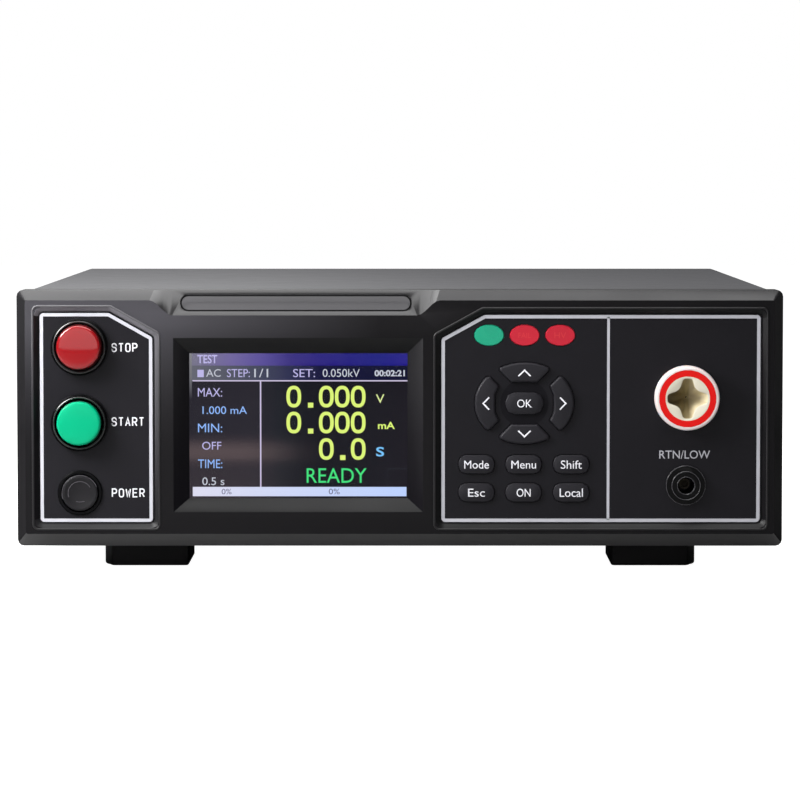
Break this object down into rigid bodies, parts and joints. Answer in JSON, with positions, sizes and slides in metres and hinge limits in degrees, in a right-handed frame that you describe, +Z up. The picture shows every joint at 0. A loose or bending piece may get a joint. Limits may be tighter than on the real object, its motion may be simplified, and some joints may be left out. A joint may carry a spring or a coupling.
{
  "type": "hipot tester",
  "caption": "Bench high-voltage withstand tester: boxy steel case, moulded front with display, push buttons, key pad, high-voltage and return sockets, rear fan and mains inlet.",
  "frame": {"origin": "centre of the overall bounding box in X and Y, on the surface that the feet stand on", "axes": "+X to the right seen from the front, +Y from the front face to the rear panel, +Z up"},
  "size_m": [0.43, 0.5074, 0.1575],
  "materials": {
    "bezel_plastic": "fine moulded grain, satin",
    "control_plate": "satin film",
    "black_plastic": "satin",
    "key_plastic": "matt",
    "red_plastic": "glossy",
    "green_plastic": "glossy",
    "white_plastic": "satin",
    "window_pane": "clear, glossy",
    "painted_steel": "fine powder coat",
    "zinc_steel": "zinc plated",
    "brass": "turned",
    "circuit_board": "solder mask",
    "aluminium": "extruded",
    "winding_tape": "insulating tape",
    "foot_plastic": "matt"
  },
  "bodies": {
    "case": {"front_bezel": "bezel_plastic", "name_strip": "control_plate", "left_plate": "control_plate", "right_plate": "control_plate", "display_window": "window_pane", "display_module": "aluminium", "display_board": "circuit_board", "sub_plate": "zinc_steel", "key_board": "circuit_board", "lamp_pass": "green_plastic", "lamp_fail": "red_plastic", "lamp_high_voltage": "red_plastic", "stop_switch": "black_plastic", "stop_nut": "zinc_steel", "start_switch": "black_plastic", "start_nut": "zinc_steel", "power_switch": "black_plastic", "hv_socket": "white_plastic", "hv_ring": "red_plastic", "hv_contact": "brass", "hv_nut": "zinc_steel", "return_socket": "black_plastic", "return_contact": "brass", "return_nut": "zinc_steel", "top_cover": "painted_steel", "chassis_tray": "zinc_steel", "main_board": "circuit_board", "heat_sink": "aluminium", "transformer_core": "zinc_steel", "transformer_winding": "winding_tape", "rear_panel": "painted_steel", "serial_port": "zinc_steel", "control_port": "zinc_steel", "fan_frame": "black_plastic", "fan_guard": "zinc_steel", "mains_inlet": "black_plastic", "earth_stud": "brass", "foot_front_left": "foot_plastic", "foot_front_right": "foot_plastic", "foot_rear_left": "foot_plastic", "foot_rear_right": "foot_plastic"},
    "stop_button": {"stop_button": "red_plastic"},
    "start_button": {"start_button": "green_plastic"},
    "power_button": {"power_button": "black_plastic"},
    "key_mode": {"key_mode": "key_plastic"},
    "key_menu": {"key_menu": "key_plastic"},
    "key_shift": {"key_shift": "key_plastic"},
    "key_esc": {"key_esc": "key_plastic"},
    "key_on": {"key_on": "key_plastic"},
    "key_local": {"key_local": "key_plastic"},
    "key_up": {"key_up": "key_plastic"},
    "key_left": {"key_left": "key_plastic"},
    "key_right": {"key_right": "key_plastic"},
    "key_down": {"key_down": "key_plastic"},
    "key_ok": {"key_ok": "key_plastic"},
    "fan_rotor": {"fan_rotor": "black_plastic"},
    "fuse_drawer": {"fuse_drawer": "black_plastic"},
    "earth_knob": {"earth_knob": "brass"},
    "tilt_leg_left": {"tilt_leg_left": "foot_plastic"},
    "tilt_leg_right": {"tilt_leg_right": "foot_plastic"}
  },
  "joints": [
    {"name": "stop_press", "type": "slide", "parent": "case", "child": "stop_button", "axis": [0, 1, 0], "range_m": [0, 0.0025], "stiffness_N_per_m": 1200},
    {"name": "start_press", "type": "slide", "parent": "case", "child": "start_button", "axis": [0, 1, 0], "range_m": [0, 0.0025], "stiffness_N_per_m": 1200},
    {"name": "power_latch", "type": "slide", "parent": "case", "child": "power_button", "axis": [0, 1, 0], "range_m": [-0.0025, 0.0008]},
    {"name": "mode_press", "type": "slide", "parent": "case", "child": "key_mode", "axis": [0, 1, 0], "range_m": [0, 0.0012], "stiffness_N_per_m": 800},
    {"name": "menu_press", "type": "slide", "parent": "case", "child": "key_menu", "axis": [0, 1, 0], "range_m": [0, 0.0012], "stiffness_N_per_m": 800},
    {"name": "shift_press", "type": "slide", "parent": "case", "child": "key_shift", "axis": [0, 1, 0], "range_m": [0, 0.0012], "stiffness_N_per_m": 800},
    {"name": "esc_press", "type": "slide", "parent": "case", "child": "key_esc", "axis": [0, 1, 0], "range_m": [0, 0.0012], "stiffness_N_per_m": 800},
    {"name": "on_press", "type": "slide", "parent": "case", "child": "key_on", "axis": [0, 1, 0], "range_m": [0, 0.0012], "stiffness_N_per_m": 800},
    {"name": "local_press", "type": "slide", "parent": "case", "child": "key_local", "axis": [0, 1, 0], "range_m": [0, 0.0012], "stiffness_N_per_m": 800},
    {"name": "up_press", "type": "slide", "parent": "case", "child": "key_up", "axis": [0, 1, 0], "range_m": [0, 0.0012], "stiffness_N_per_m": 800},
    {"name": "left_press", "type": "slide", "parent": "case", "child": "key_left", "axis": [0, 1, 0], "range_m": [0, 0.0012], "stiffness_N_per_m": 800},
    {"name": "right_press", "type": "slide", "parent": "case", "child": "key_right", "axis": [0, 1, 0], "range_m": [0, 0.0012], "stiffness_N_per_m": 800},
    {"name": "down_press", "type": "slide", "parent": "case", "child": "key_down", "axis": [0, 1, 0], "range_m": [0, 0.0012], "stiffness_N_per_m": 800},
    {"name": "ok_press", "type": "slide", "parent": "case", "child": "key_ok", "axis": [0, 1, 0], "range_m": [0, 0.0012], "stiffness_N_per_m": 800},
    {"name": "fan_spin", "type": "hinge", "parent": "case", "child": "fan_rotor", "pos_m": [-0.13, 0.21815, 0.0855], "axis": [0, 1, 0], "continuous": true},
    {"name": "fuse_slide", "type": "slide", "parent": "case", "child": "fuse_drawer", "axis": [0, 1, 0], "range_m": [0, 0.014]},
    {"name": "earth_turn", "type": "hinge", "parent": "case", "child": "earth_knob", "pos_m": [0.108, 0.244, 0.0435], "axis": [0, 1, 0], "range_deg": [0, 720]},
    {"name": "tilt_left", "type": "hinge", "parent": "case", "child": "tilt_leg_left", "pos_m": [-0.144, -0.20195, 0.0028], "axis": [-1, 0, 0], "range_deg": [0, 95]},
    {"name": "tilt_right", "type": "hinge", "parent": "case", "child": "tilt_leg_right", "pos_m": [0.144, -0.20195, 0.0028], "axis": [-1, 0, 0], "range_deg": [0, 95]}
  ]
}
